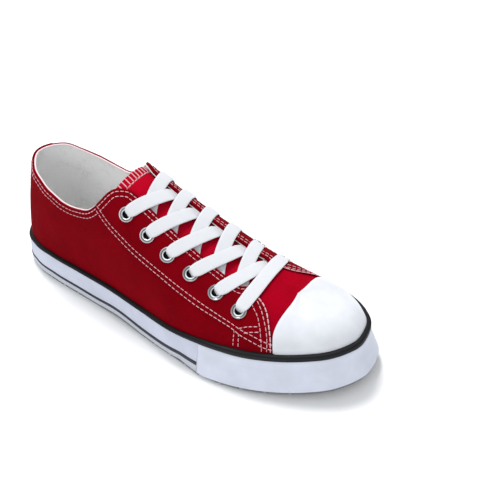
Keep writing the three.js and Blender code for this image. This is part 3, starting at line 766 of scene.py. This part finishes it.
def add_heel_stay():
    half = np.linspace(0.0, 0.0225, 13)
    u = np.concatenate([-(1 - half[::-1]), 1 - half[1:]])[:, None]
    top = edge_v(u.ravel())[:, None]
    rows = share_rows(60)[None, :]
    v = np.where(rows < 0, rows + 0 * u, rows * top)
    u = u + 0 * v
    d = rolled(v, STAY) + relief(u, v)
    d[0] -= 0.3
    d[-1] -= 0.3
    outer, inner = last(u, v, d), last(u, v, np.minimum(d - 0.1, 0.03 + relief(u, v)))
    obj = sheet("heel_stay", outer, inner, arc_grid(outer))
    return finish(outward_faces(obj), RED_CANVAS, "canvas")


def collar_u(start, count):
    """Signed stations from the lateral side round the heel to the medial side."""
    half = np.linspace(start, 1.0, count)
    return np.concatenate([-half, half[::-1][1:]])


def add_lining():
    u = collar_u(0.36, 150)[:, None]
    rows = np.concatenate([[-0.85, -0.6, -0.35, -0.12], np.linspace(0, 1, 48)])[None, :]
    top = edge_v(u.ravel())[:, None]
    v = np.where(rows < 0, rows + 0 * u, rows * top)
    u = u + 0 * v
    bow = 0.12 * np.sin(u * 31 + v * 9) * np.clip(v, 0, 1)
    outer, inner = last(u, v, -CLOTH - 0.05), last(u, v, -WALL + bow)
    keep = cells_clear(last(u, v, 0), LACE_HOLES + VENTS)
    obj = sheet("lining", outer, inner, arc_grid(outer), keep)
    return finish(outward_faces(obj), LINING, "lining")


# ---- threads, beads and stitches ----
def resample(P, step):
    length = arc(P)
    want = np.arange(0, length[-1] + 1e-9, step)
    return np.stack([np.interp(want, length, P[:, k]) for k in range(3)], -1)


def tube(P, N, wide, high, sides):
    """Loops of an oval tube along P with surface normals N; wide and high are half sizes, one per point."""
    T = unit(np.gradient(P, axis=0))
    side = unit(np.cross(T, N))
    rise = np.cross(side, T)
    a = np.linspace(0, 2 * np.pi, sides, endpoint=False)
    wide, high = np.broadcast_to(wide, len(P)), np.broadcast_to(high, len(P))
    ring = (
        side[:, None, :] * (np.cos(a)[None, :] * wide[:, None])[..., None]
        + rise[:, None, :] * (np.sin(a)[None, :] * high[:, None])[..., None]
    )
    return P[:, None, :] + ring


def join(parts):
    """One list of points, faces and uv from several."""
    points, faces, uvs, base = [], [], [], 0
    for p, f, uv in parts:
        points.append(p)
        uvs.append(uv)
        faces += [tuple(i + base for i in face) for face in f]
        base += len(p)
    return np.concatenate(points), faces, np.concatenate(uvs)


def mesh_of(name, parts, sharp=50):
    return outward_faces(piece(name, *join(parts), sharp=sharp))


STITCH_LIFT = 0.14
STITCH_SHARE = np.array([0.0, 0.1, 0.32, 0.68, 0.9, 1.0])
STITCH_GIRTH = np.array([0.25, 0.8, 1.0, 1.0, 0.8, 0.25])
STITCH_SINK = np.array([-0.35, -0.1, 0.0, 0.0, -0.1, -0.35])


def stitches(P, N, length=2.6, gap=0.6, radius=0.25):
    """Separate stitches along P; each dives into the cloth at its ends."""
    total = arc(P)
    count = int(total[-1] / (length + gap))
    if count < 1:
        return []
    pitch = total[-1] / count
    parts = []
    for i in range(count):
        want = pitch * i + (pitch - gap) * STITCH_SHARE
        p = np.stack([np.interp(want, total, P[:, k]) for k in range(3)], -1)
        n = unit(np.stack([np.interp(want, total, N[:, k]) for k in range(3)], -1))
        p = p + n * (STITCH_LIFT + STITCH_SINK)[:, None]
        girth = radius * STITCH_GIRTH
        parts.append(loops(tube(p, n, girth, girth * 0.8, 6), False))
    return parts


def on_surface(u, v, d):
    u, v = np.asarray(u, float), np.asarray(v, float)
    return last(u, v, d + relief(u, v)), outward(u, v)


def beside_edge(u, v, inset):
    """The same path moved inset millimetres into the cloth, square to the path."""
    P = bare(u, v)
    T, N = unit(np.gradient(P, axis=0)), outward(u, v)
    away = unit(np.cross(T, N))
    up = unit(bare(u, v + 0.002) - bare(u, v - 0.002))
    away = away * -np.sign(np.einsum("ij,ij->i", away, up))[:, None]
    su = (bare(u + 0.001, v) - bare(u - 0.001, v)) / 0.002
    sv = (bare(u, v + 0.001) - bare(u, v - 0.001)) / 0.002
    a, b, c = (np.einsum("ij,ij->i", p, q) for p, q in ((su, su), (su, sv), (sv, sv)))
    e, f = np.einsum("ij,ij->i", su, away * inset), np.einsum("ij,ij->i", sv, away * inset)
    det = a * c - b * b
    return u + (c * e - b * f) / det, v + (a * f - b * e) / det


def add_stitching():
    parts = []
    for side in (-1, 1):
        t = np.linspace(0.243, STAY_END - 0.001, 700)
        rows = spline(REAR_ROWS)(t)
        for k in (0, 1):
            parts += stitches(*on_surface(side * t, rows[:, k], STAY))
        v = np.linspace(0.015, 0.76, 300)
        front = spline(FRONT_ROWS)(v)
        level = lambda t: np.where(v > rear_v(t), STAY, 0.0)
        parts += stitches(*on_surface(side * (front[:, 0] + 0.003), v, level(front[:, 0])), 3.2, 0.25, 0.42)
        for k in (1, 2):
            keep = front[:, k] < THROAT_T
            parts += stitches(*[a[keep] for a in on_surface(side * front[:, k], v, level(front[:, k]))])
        parts += box_rows(side)
    u = collar_u(0.347, 1200)
    v = edge_v(u)
    lobe = np.abs(u) < STAY_END
    for inset in (1.9, 4.9):
        a, b = beside_edge(u, v, inset)
        parts += stitches(*on_surface(a, b, np.where(lobe, STAY, 0.0)))
    for k in (-1, 1):
        for t in (0.9805, 0.9855):
            v = np.linspace(0.01, 0.43, 200)
            parts += stitches(*on_surface(k * t + 0 * v, v, STAY))
    return finish(mesh_of("seam_stitches", parts), THREAD, "lace_cotton")


# Reinforcement behind the front seam: rows of (station, share) pairs
BOX_ROWS = [
    [(0.334, 0.255), (0.3325, 0.02)],
    [(0.3225, 0.235), (0.32, 0.02)],
    [(0.3245, 0.3), (0.307, 0.355), (0.2815, 0.405)],
    [(0.3115, 0.262), (0.295, 0.303), (0.276, 0.338)],
]


def box_rows(side):
    parts = []
    for row in BOX_ROWS:
        t, v = np.array(row).T
        s = np.linspace(0, len(t) - 1, 80)
        t, v = np.interp(s, np.arange(len(t)), t), np.interp(s, np.arange(len(t)), v)
        parts += stitches(*on_surface(side * t, v, np.where(v > rear_v(t), STAY, 0.0)), 2.0, 0.7, 0.26)
    return parts


BEAD_DROP, BEAD_HALF = (0.2, 0.5), (0.62, 0.65)  # below the edge, lateral and medial; half width and height


def add_collar_bead():
    """The turned edge of the lining, seen as a pale line just inside the collar."""
    u = collar_u(0.7, 500)
    v = edge_v(u)
    up = unit(bare(u, v + 0.002) - bare(u, v - 0.002))
    drop = np.where(u < 0, *BEAD_DROP)[:, None]
    P = resample(last(u, v, -WALL + 0.25) - up * drop, 1.2)
    sections = tube(P, np.array([0.0, 0.0, 1.0]), *BEAD_HALF, 10)
    return finish(mesh_of("collar_bead", [loops(sections, False)]), BINDING, "lining")


# ---- tongue ----
TONGUE_FROM, TONGUE_TO, TONGUE_HALF, TONGUE_DEPTH, TONGUE_THICK = 0.29, 0.6755, 0.46, 3.3, 2.3


def tongue_top(q):
    return TONGUE_TO + 0.12 * q * q


def tongue_point(s, q, depth):
    """s runs from the toe end (0) to the top edge (1)."""
    return over(lerp(TONGUE_FROM, tongue_top(q), s), q, -depth)


def add_tongue():
    q = np.linspace(-1, 1, 90)
    q = TONGUE_HALF * np.sign(q) * np.abs(q) ** 0.9
    s = 1 - np.linspace(1, 0, 130) ** 1.15
    q, s = np.broadcast_arrays(q[:, None], s[None, :])
    rim = np.minimum((1 - s) * 110, (TONGUE_HALF - np.abs(q)) * 95)
    thin = np.exp(-np.maximum(rim, 0) / 0.9)
    wave = 0.25 * np.sin(s * 17 + q * 4) * np.cos(q * 6)
    outer = tongue_point(s, q, TONGUE_DEPTH + 0.55 * thin - wave * (1 - thin))
    inner = tongue_point(s, q, TONGUE_DEPTH + TONGUE_THICK - 0.55 * thin - wave * (1 - thin))
    obj = sheet("tongue_cloth", outer, inner, outer[..., :2].copy())
    return finish(outward_faces(obj), TONGUE_CANVAS, "canvas_tongue", "tongue")


TONGUE_LONG = 118  # mm
WHIP_PITCH, WHIP_LEAN = 2.8, 0.006  # mm, share across
# One whip stitch, from the face over the edge to the back: mm past the edge, mm below the face
WHIP = [
    (-6.2, 0.1), (-4.5, -0.12), (-2.5, -0.15), (-0.8, -0.1), (0.25, 0.5), (0.45, 1.3), (-0.1, 2.3),
    (-2.0, 2.45), (-3.5, 2.3),
]
EDGE_SEAM = 6.6  # mm from the tongue's top edge to the seam below the whip stitches


def add_tongue_thread():
    """Whip stitches over the top edge, a row below them and one along each side."""
    parts = []
    per_mm = 1 / TONGUE_LONG
    q_edge = np.linspace(-0.44, 0.44, 400)
    edge = tongue_point(1 + 0 * q_edge, q_edge, TONGUE_DEPTH)
    along, depth = np.array(WHIP).T
    s, depth = 1 + along * per_mm, depth + TONGUE_DEPTH
    shift = np.linspace(-WHIP_LEAN, WHIP_LEAN, len(s))
    beyond = np.maximum(along, 0)
    for place in spread(edge, int(arc(edge)[-1] / WHIP_PITCH)):
        q = np.interp(place, np.arange(400), q_edge)
        P = tongue_point(np.minimum(s, 1), np.full(len(s), q) + shift, depth)
        top, below = tongue_point(np.array([1.0, 0.98]), np.full(2, q), 0)
        ahead = unit(top - below)
        P = resample(P + ahead * beyond[:, None], 0.45)
        N = unit(np.gradient(P, axis=0))
        side = unit(edge[min(399, int(place) + 2)] - edge[max(0, int(place) - 2)])
        parts.append(loops(tube(P, unit(np.cross(np.broadcast_to(side, N.shape), N)), 0.38, 0.3, 6), False))
    seam = 1 - EDGE_SEAM * per_mm
    rows = [(np.full(300, seam), np.linspace(-0.4, 0.4, 300))]
    rows += [(np.linspace(0.1, seam, 300), np.full(300, side * 0.4)) for side in (-1, 1)]
    for s, q in rows:
        N = tongue_point(s, q, 0) - tongue_point(s, q, 1)
        parts += stitches(tongue_point(s, q, TONGUE_DEPTH), unit(N), 2.6, 0.35, 0.36)
    return finish(mesh_of("tongue_thread", parts), THREAD, "lace_cotton")


# ---- rubber ----
CAP_FOOT, CAP_FULL_V = 0.35, 0.3  # share of the cap's thickness at its foot, and where it is full
FOXING_THINNED, BUMPER_SWELL = 0.9, 1.1
BAND_DROP, BAND_WIDER = 1.9, 0.5  # lower along the waist, wider round the toe than the CAD's band
PIN_UP, PIN_HALF = (7.2, 8.2), (0.85, 1.65)  # the dark line's height and half width, at heel and front


def add_toe_cap():
    half = np.concatenate([np.linspace(0, 0.93, 62), np.linspace(0.94, 1, 12)])
    share = np.concatenate([-half[::-1], half[1:]])[:, None]
    v = np.linspace(-0.02, 1.0, 80)[None, :]
    edge = spline(CAP_EDGE)(v.ravel())[:, 0][None, :]
    u, v = share * edge, v + 0 * share
    rear = np.exp(-(edge - np.abs(u)) / 0.004)
    full = lerp(CAP_FOOT, 1, np.sin(np.pi / 2 * np.clip(v / CAP_FULL_V, 0, 1)))
    outer = last(u, v, GAP + CAP_THICK * full - 0.6 * rear)
    inner = last(u, v, GAP - 0.15 + 0 * v)
    obj = sheet("toe_cap_skin", outer, inner, outer[..., :2].copy())
    return finish(outward_faces(obj), CAP, "toe_cap_rubber", "toe_cap")


def ring_stations(start, stop, step=1.6):
    u = np.linspace(start, stop, 4000)
    path = plan(u, 0)
    return np.interp(spread(path, int(arc(path)[-1] / step)), np.arange(len(u)), u)


def band_sections(u, rows):
    """rows gives, for all stations at once, a list of (distance out, height, counts from the ground)."""
    sections = []
    for d, z, on_sole in rows:
        p = plan(u, d)
        p[:, 2] = z + (ground_z(p[:, 0]) if on_sole else 0)
        sections.append(p)
    return np.stack(sections, 1)


def pin_height(u):
    """Middle of the dark line on the foxing: its height and half width."""
    x = station(u)[:, 0]
    middle = ground_z(x) + lerp(*PIN_UP, np.clip((x - 140) / 40, 0, 1))
    return middle, lerp(*PIN_HALF, np.clip((x - 20) / 150, 0, 1))


def thinned(u):
    """1 where the bumper covers the foxing and it is thinner."""
    return np.clip((BUMPER_T + 0.004 - np.abs(u)) / 0.004, 0, 1)


def foxing_out(u, z):
    """How far out the face of the foxing is at height z."""
    t, ledge, thin = np.abs(u), station(u)[:, 2], thinned(u)
    top = ledge_width(t) - FOXING_THINNED * thin
    foot = top + flare(t) * (1 - thin)
    ground = ground_z(station(u)[:, 0]) + LOW
    share = (z - ground) / (ledge - STRIPE - GAP - ground)
    return lerp(foot, top, np.clip(share, 0, 1))


def add_foxing():
    u = ring_stations(-1, 1)[:-1]
    top = station(u)[:, 2] - STRIPE - 0.1
    middle = pin_height(u)[0]
    low = LOW - 0.1
    foot = foxing_out(u, 0 * u)
    head = foxing_out(u, 99 + 0 * u)
    groove = 0.28 * (1 - thinned(u))
    rows = [(GAP + 0 * u, low + 0 * u, True), (foot - 0.5, low + 0 * u, True), (foot, low + 0.6, True)]
    rows += [
        (foxing_out(u, middle + lift) + out, middle + rise, False)
        for lift, rise, out in ((-2.2, -2.2, 0.12), (0, -0.05, -groove), (0, 0.05, -groove), (2.2, 2.2, 0.12))
    ]
    rows += [(head + 0.05, top - 1.0, False), (head - 0.45, top, False), (GAP + 0 * u, top, False)]
    S = band_sections(u, rows)
    points, faces, uv = loops(S, True)
    along = np.repeat(arc(S[:, 2]), S.shape[1])
    # The second uv is the height over the dark line; the foxing material paints shade below it.
    uv = np.stack([along, (S[..., 2] - middle[:, None]).ravel()], -1)
    obj = mesh_of("foxing_tape", [(points, faces, uv)], sharp=60)
    return finish(obj, FOXING, "foxing_rubber", "foxing")


def add_pinstripe(side, name):
    u = side * ring_stations(BUMPER_T + 0.006, 0.999, 1.4)
    middle, half = pin_height(u)
    rows = []
    for k, out in ((-1, -0.35), (-1, 0.12), (-0.6, 0.3), (0.6, 0.3), (1, 0.12), (1, -0.35)):
        z = middle + k * half
        rows.append((foxing_out(u, middle) + out, z, False))
    obj = mesh_of(name, [loops(band_sections(u, rows), False)], sharp=50)
    return finish(obj, PIN, "stripe_rubber")


def add_stripe():
    u = ring_stations(-1, 1)[:-1]
    t, ledge = np.abs(u), station(u)[:, 2]
    wide = ledge_width(t) + BAND_WIDER * np.clip((BUMPER_T - t) / 0.1, 0, 1)
    top = ledge - BAND_DROP * np.clip((t - 0.34) / 0.16, 0, 1)
    rows = [
        (GAP - 0.25 + 0 * u, ledge - STRIPE, False), (wide + 0.15, ledge - STRIPE, False),
        (wide + 0.4, ledge - STRIPE + 0.3, False), (wide + 0.4, top - 1.1, False),
        (wide + 0.25, top - 0.5, False), (wide - 0.25, top - 0.1, False),
        (wide * 0.5, top + 0.05, False), (GAP - 0.25 + 0 * u, top, False),
    ]
    obj = mesh_of("stripe_band", [loops(band_sections(u, rows), True)], sharp=60)
    return finish(obj, BLACK, "stripe_rubber", "foxing_stripe")


def add_bumper():
    u = ring_stations(-BUMPER_T - 0.0035, BUMPER_T + 0.0035, 1.5)
    t, ledge = np.abs(u), station(u)[:, 2]
    foot = ledge_width(t) + flare(t) + 0.3
    head = ledge_width(t) + BUMPER_SWELL
    inner = ledge_width(t) - FOXING_THINNED + 0.1
    top = ledge - STRIPE - 0.1
    low = LOW - 0.1
    at = lambda share: low + share * (top - ground_z(station(u)[:, 0]) - low)
    out = lambda share: lerp(foot, head, np.clip(share / 0.78, 0, 1) ** 0.9)
    rows = [(inner, low + 0 * u, True), (foot - 0.9, low + 0 * u, True), (foot - 0.25, low + 0.45, True)]
    shares = (0.09, 0.22, 0.38, 0.55, 0.7, 0.82, 0.9)
    rows += [(out(k) + 0.25 * np.sin(np.pi * k), at(k), True) for k in shares]
    rows += [(head - 0.15, at(0.955), True), (head - 0.75, at(1.0), True)]
    rows += [(inner, at(1.0), True)]
    obj = mesh_of("bumper_tape", [loops(band_sections(u, rows), False)], sharp=50)
    return finish(obj, BUMPER, "foxing_rubber", "toe_bumper")


def add_insole():
    t = np.interp(np.linspace(0, 1, 120), [0, 1], [0.004, 0.996])
    a, b = plan(-t, -(WALL + 0.4)), plan(t, -(WALL + 0.4))
    q = np.linspace(-1, 1, 41)
    P = a[:, None] + (b - a)[:, None] * ((q + 1) / 2)[None, :, None]
    rim = 1 - (1 - q[None, :] ** 4) * (1 - (2 * t - 1)[:, None] ** 8)
    base = ground_z(P[..., 0]) + SOLE_TOP + GAP
    top, low = P.copy(), P.copy()
    top[..., 2] = base + INSOLE + 1.2 * rim + 0.25 * (1 - q[None, :] ** 2)
    low[..., 2] = base
    obj = sheet("insole_sock", top, low, top[..., :2].copy())
    return finish(outward_faces(obj), LINING, "lining", "insole")


# ---- eyelets ----
# Section of an eyelet: radius and height over the cloth
EYELET_SECTION = [
    (4.9, -0.1), (5.0, 0.15), (4.95, 0.42), (4.7, 0.62), (4.4, 0.6), (4.1, 0.42), (3.8, 0.36),
    (3.5, 0.55), (3.2, 0.88), (2.9, 0.92), (2.62, 0.7), (2.5, 0.2), (2.48, -1.0), (2.48, -2.3),
    (2.9, -2.3), (2.9, -0.1),
]


# radius of the painted shadow discs inside the barrels
SHADOW_DISC_RADIUS = 2.7  # radius


def add_hole_shadow_discs():
    """Painted shadow: dark discs set a little inside each barrel, where the hole's shade falls."""
    parts = []
    a = np.linspace(0, 2 * np.pi, 24, endpoint=False)
    at, axis = hole_axes(LACE_HOLES + VENTS)
    for o, n in zip(at, axis):
        x = unit(np.cross(n, [0.0, 0.0, 1.0]))
        ring = SHADOW_DISC_RADIUS * (np.cos(a)[:, None] * x + np.sin(a)[:, None] * np.cross(n, x))
        parts.append(loops(np.stack([o + ring - depth * n for depth in (1.5, 1.0)]), False))
    return finish(mesh_of("hole_shadow_discs", parts), HOLE_SHADOW, "lining")


def add_eyelets():
    parts = []
    for holes, lift in ((LACE_HOLES, STAY), (VENTS, 0.0)):
        at, axis = hole_axes(holes)
        for o, n, (u, v) in zip(at, axis, holes):
            x = unit(np.cross(n, [0.0, 0.0, 1.0]))
            y = np.cross(n, x)
            a = np.linspace(0, 2 * np.pi, 40, endpoint=False)
            r, h = np.array(EYELET_SECTION).T
            ring = np.cos(a)[:, None] * x + np.sin(a)[:, None] * y
            centre = o + n * (lift + 0.12 + float(relief(u, v)))
            S = centre + ring[:, None, :] * r[None, :, None] + n * h[None, :, None]
            parts.append(loops(S, True))
    # painted shadow discs inside the barrels
    add_hole_shadow_discs()
    nodes = [f"eyelet_{side}_{i}" for side in ("lateral", "medial") for i in range(1, 7)]
    nodes += ["vent_eyelet_1", "vent_eyelet_2"]
    return finish(mesh_of("eyelets", parts, sharp=40), METAL, "eyelet_metal", *nodes)


# ---- lace ----
LACE_W, LACE_T = 9.0, 1.0
LACE_AHEAD = 0.02  # stations that the middle of a run lies nearer the toe
UPPER_RUN, LOWER_RUN = -0.45, -1.85  # heights of the middles of the two runs of a crossing
LACE_SIDES = 18


def ribbon(t, q, d, width, thick):
    """A flat braid along (t, q, d) over the top of the foot."""
    C = over(t, q, d)
    flat = over(t, q, 0 * d)
    N = unit(over(t, q, 1.0 + 0 * d) - flat)
    D = unit(np.gradient(flat, axis=0))
    side = unit(np.cross(D, N))
    T = unit(np.gradient(C, axis=0))
    rise = unit(np.cross(side, T))
    a = np.linspace(0, 2 * np.pi, LACE_SIDES, endpoint=False)
    c, s = np.cos(a), np.sin(a)
    across = np.sign(c) * np.abs(c) ** 0.35
    up = np.sign(s) * np.abs(s) ** 0.6
    s_along = arc(C)
    wave = 0.1 * np.sin(s_along * 0.55)[:, None] * across[None, :] ** 2
    ring = (
        side[:, None, :] * (across[None, :] * width[:, None] / 2)[..., None]
        + rise[:, None, :] * (up[None, :] * thick[:, None] / 2 + wave)[..., None]
    )
    S = C[:, None, :] + ring
    points, faces = loops(S, False)[:2]
    uv = np.stack([np.repeat(s_along, LACE_SIDES), (across[None, :] * width[:, None] / 2).ravel()], -1)
    return points, faces, uv


LACE_TOP = STAY + LACE_T / 2 + 0.12  # height of a lace's middle where it lies on the eyestay
HIDDEN = -2.62  # and under the far eyestay
# Where a lace leaves an eyelet: mm along it, height of its middle, width, thickness
LACE_END = [
    (0.0, -2.2, 4.2, 1.6), (0.4, -0.7, 4.6, 1.5), (1.1, 0.8, 5.8, 1.4), (2.3, LACE_TOP + 0.35, 7.4, 1.3),
]


def lace_run(side, start, stop, middle, dive=True, ahead=0.0):
    """From inside one eyelet, over its eyestay and the throat, and under the far eyestay to the far eyelet.
    side is +1 when it leaves the lateral side; start and stop are (t, v); middle is its height at the crest,
    and ahead is how far its middle lies towards the toe, in stations."""
    a = np.linspace(0, 1, 600)
    q_line = lerp(-side * (1 - start[1]), side * (1 - stop[1]), a)
    t_line = lerp(start[0], stop[0], a) - ahead * np.sin(np.pi * a)
    length = arc(over(t_line, q_line, 0 * a))
    whole = length[-1]
    edge = 1 - float(edge_v(max(THROAT_T, lerp(start[0], stop[0], 0.5)))[0])
    near, mid, far = (float(np.interp(k * edge, side * q_line, length)) for k in (-1, 0, 1))
    flat = (LACE_W, LACE_T)
    if dive:
        rows = LACE_END + [
            (4.2, LACE_TOP + 0.22, 8.6, LACE_T), (7.5, LACE_TOP + 0.05, *flat), (near, LACE_TOP - 0.1, *flat),
            (lerp(near, mid, 0.5), lerp(LACE_TOP, middle, 0.55), *flat), (mid, middle, *flat),
            (lerp(mid, far, 0.55), lerp(middle, -2.6, 0.4), *flat), (far - 1.0, -2.45, *flat),
            (far + 3.0, HIDDEN, LACE_W, 1.1), (whole - 5.0, HIDDEN, 7.5, 1.1), (whole, HIDDEN, 4.8, 1.1),
        ]
    else:
        half = LACE_END + [(4.2, LACE_TOP + 0.25, 8.6, LACE_T), (7.5, LACE_TOP + 0.1, *flat)]
        rows = half + [(mid, middle, *flat)] + [(whole - x, *rest) for x, *rest in half[::-1]]
    ends = np.linspace(0, 3, 16)
    at = np.concatenate([ends, np.linspace(3.3, whole - 3.3, 90), whole - ends[::-1]])
    d, width, thick = spline(rows)(at).T
    t, q = np.interp(at, length, t_line), np.interp(at, length, q_line)
    return ribbon(t, q, d, width, thick)


def add_lace():
    parts = []
    for k in range(5):
        (lt0, lv0, mt0, mv0), (lt1, lv1, mt1, mv1) = EYELETS[k], EYELETS[k + 1]
        parts.append(lace_run(1, (lt0, lv0), (mt1, mv1), UPPER_RUN, ahead=LACE_AHEAD))
        parts.append(lace_run(-1, (mt0, mv0), (lt1, lv1), LOWER_RUN))
    lt, lv, mt, mv = EYELETS[5]
    parts.append(lace_run(1, (lt, lv), (mt, mv), STAY + LACE_T / 2 + 0.1, dive=False, ahead=LACE_AHEAD))
    obj = mesh_of("lace", parts, sharp=70)
    return finish(obj, LACE, "lace_cotton", *[f"lace_crossing_{k}" for k in range(1, 6)], "lace_bar")


quarter = add_quarter(-1, "quarter_lateral")
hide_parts("upper")
add_quarter(1, "quarter_medial")
add_vamp()
add_eyestay(-1, "eyestay_lateral")
add_eyestay(1, "eyestay_medial")
add_heel_stay()
add_lining()
add_collar_bead()
add_stitching()
add_tongue()
add_tongue_thread()
add_toe_cap()
add_foxing()
add_pinstripe(-1, "pinstripe_lateral")
add_pinstripe(1, "pinstripe_medial")
add_stripe()
add_bumper()
add_insole()
add_eyelets()
add_lace()
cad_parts["outsole"].data.materials.clear()
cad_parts["outsole"].data.materials.append(SOLE)
